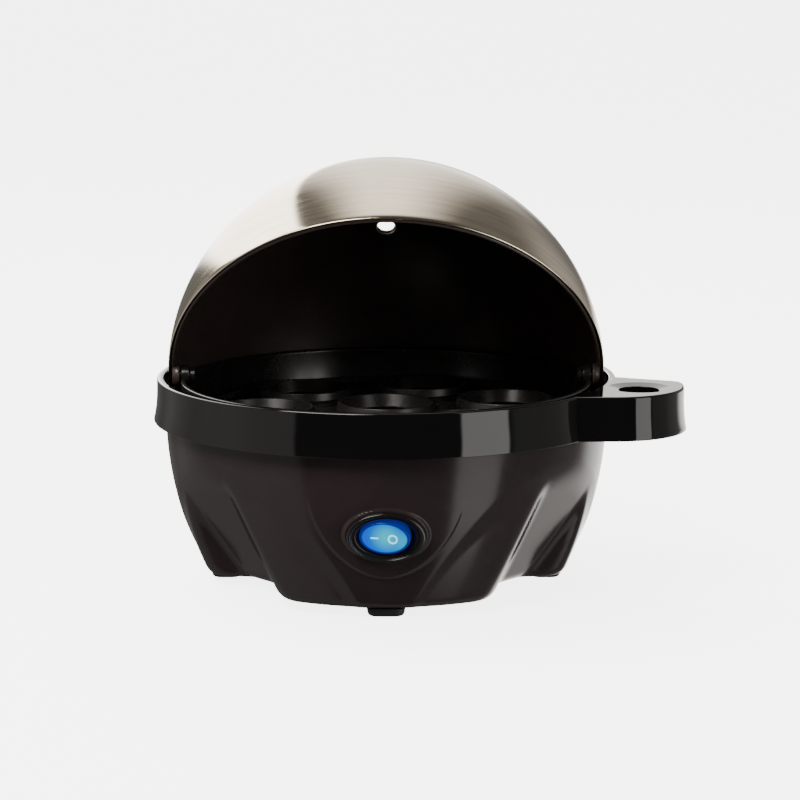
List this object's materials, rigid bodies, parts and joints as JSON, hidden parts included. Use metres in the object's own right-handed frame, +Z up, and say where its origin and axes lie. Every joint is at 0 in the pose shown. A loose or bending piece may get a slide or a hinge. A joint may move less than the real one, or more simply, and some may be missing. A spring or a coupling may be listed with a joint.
{
  "type": "egg cooker",
  "caption": "Round electric egg cooker with a petal-shaped black base, an egg tray over a heated plate, a lit rocker switch and a steel dome lid that rolls back into the base.",
  "frame": {"origin": "under the middle of the whole object's box, ear included, on the surface it stands on", "axes": "+X to the right, along the lid's axis and towards the ear; +Y from the switch to the back; +Z up"},
  "size_m": [0.1983, 0.175, 0.159],
  "materials": {
    "gloss_black": "high gloss black",
    "casing_black": "gloss black with a brown tint",
    "bowl_black": "satin black",
    "tray_black": "satin black",
    "liner_black": "semi-gloss black",
    "brushed_steel": "brushed around its rim, warm",
    "bright_steel": "satin",
    "foot_rubber": "matt black",
    "silicone": "matt red brown",
    "brass": "satin",
    "nylon": "matt off-white",
    "lit_blue": "translucent blue, lit from behind"
  },
  "bodies": {
    "base": {"upper_casing": "gloss_black", "lower_casing": "casing_black", "base_plate": "casing_black", "base_screw_1": "bright_steel", "base_screw_2": "bright_steel", "base_screw_3": "bright_steel", "base_screw_4": "bright_steel", "foot_front": "foot_rubber", "foot_right": "foot_rubber", "foot_rear": "foot_rubber", "foot_left": "foot_rubber", "inner_bowl": "bowl_black", "bowl_pillar_1": "bowl_black", "bowl_pillar_2": "bowl_black", "bowl_pillar_3": "bowl_black", "bowl_pillar_4": "bowl_black", "plate_seal": "silicone", "heating_plate": "bright_steel", "heating_element": "bright_steel", "plate_stud_1": "bright_steel", "plate_stud_2": "bright_steel", "plate_bracket": "bright_steel", "bracket_nut_1": "brass", "bracket_nut_2": "brass", "thermostat": "nylon", "thermal_fuse": "nylon", "terminal_block": "nylon", "lid_pin_left": "bright_steel", "lid_pin_right": "bright_steel", "switch_bezel": "gloss_black", "switch_housing": "bowl_black", "switch_lamp": "lit_blue", "switch_terminal_1": "brass", "switch_terminal_2": "brass", "switch_terminal_3": "brass", "cord_gland": "foot_rubber"},
    "lid": {"lid_dome": "brushed_steel", "lid_liner": "liner_black"},
    "rocker": {"switch_rocker": "lit_blue"},
    "tray": {"egg_tray": "tray_black", "tray_leg_1": "tray_black", "tray_leg_2": "tray_black", "tray_leg_3": "tray_black", "tray_leg_4": "tray_black"}
  },
  "joints": [
    {"name": "lid_roll", "type": "hinge", "parent": "base", "child": "lid", "pos_m": [-0.01155, 0, 0.077], "axis": [1, 0, 0], "range_deg": [0, 52]},
    {"name": "switch_press", "type": "hinge", "parent": "base", "child": "rocker", "pos_m": [-0.01155, -0.07764, 0.03336], "axis": [0, -0.2399, 0.9708], "range_deg": [0, 16]},
    {"name": "tray_lift", "type": "slide", "parent": "base", "child": "tray", "axis": [0, 0, 1], "range_m": [0, 0.045]}
  ]
}
